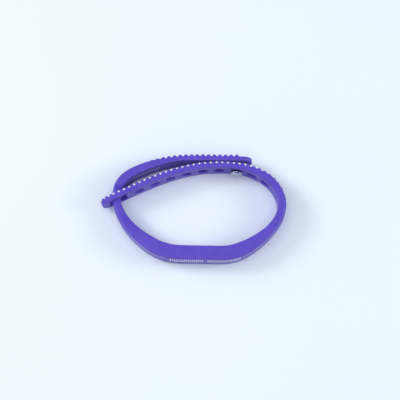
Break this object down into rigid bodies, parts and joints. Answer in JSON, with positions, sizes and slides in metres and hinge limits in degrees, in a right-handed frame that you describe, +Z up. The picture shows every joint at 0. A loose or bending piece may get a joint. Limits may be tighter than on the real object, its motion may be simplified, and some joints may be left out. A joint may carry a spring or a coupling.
{
  "type": "silicone wristband",
  "caption": "Adjustable silicone tag wristband closed into a loop: thick straight pod, perforated strap with slotted keeper, ribbed tail and metal stud.",
  "frame": {"origin": "middle of the footprint on the surface that the band stands on", "axes": "+Z up along the band's width, -Y towards the pod, +X towards the plain right bend, away from the keeper"},
  "size_m": [0.0904, 0.0528, 0.0122],
  "materials": {
    "silicone": "soft satin moulded silicone, violet",
    "white_fill": "matte white silicone colour fill",
    "stud_metal": "polished nickel",
    "card": "laminated card",
    "copper": "etched copper",
    "chip": "black resin"
  },
  "bodies": {
    "band": {"pod_shell": "silicone", "pod_lid": "silicone", "tag_base": "card", "antenna_coil": "copper", "tag_chip": "chip", "tag_cover": "card", "left_band": "silicone", "right_band": "silicone", "strap_eye": "silicone", "eye_fill": "white_fill"},
    "strap_end": {"strap_end": "silicone", "strap_fill": "white_fill"},
    "tail_root": {"tail_root": "silicone", "tail_root_fill": "white_fill"},
    "tail_end": {"tail_end": "silicone", "tail_end_fill": "white_fill", "stud_peg": "stud_metal", "stud_cap": "stud_metal"}
  },
  "joints": [
    {"name": "tail_peel", "type": "hinge", "parent": "band", "child": "tail_root", "pos_m": [-0.0375, 0.01292, 0.0061], "axis": [0, 0, 1], "range_deg": [0, 60], "stiffness_Nm_per_rad": 0.004, "deforming": ["strap_eye"]},
    {"name": "tail_curl", "type": "hinge", "parent": "tail_root", "child": "tail_end", "pos_m": [-0.00488, 0.02529, 0.0061], "axis": [0, 0, 1], "range_deg": [0, 50], "stiffness_Nm_per_rad": 0.004, "deforming": ["strap_eye"]},
    {"name": "strap_flex", "type": "hinge", "parent": "band", "child": "strap_end", "pos_m": [0.01691, 0.01943, 0.0061], "axis": [0, 0, 1], "range_deg": [0, 6], "stiffness_Nm_per_rad": 0.004}
  ]
}
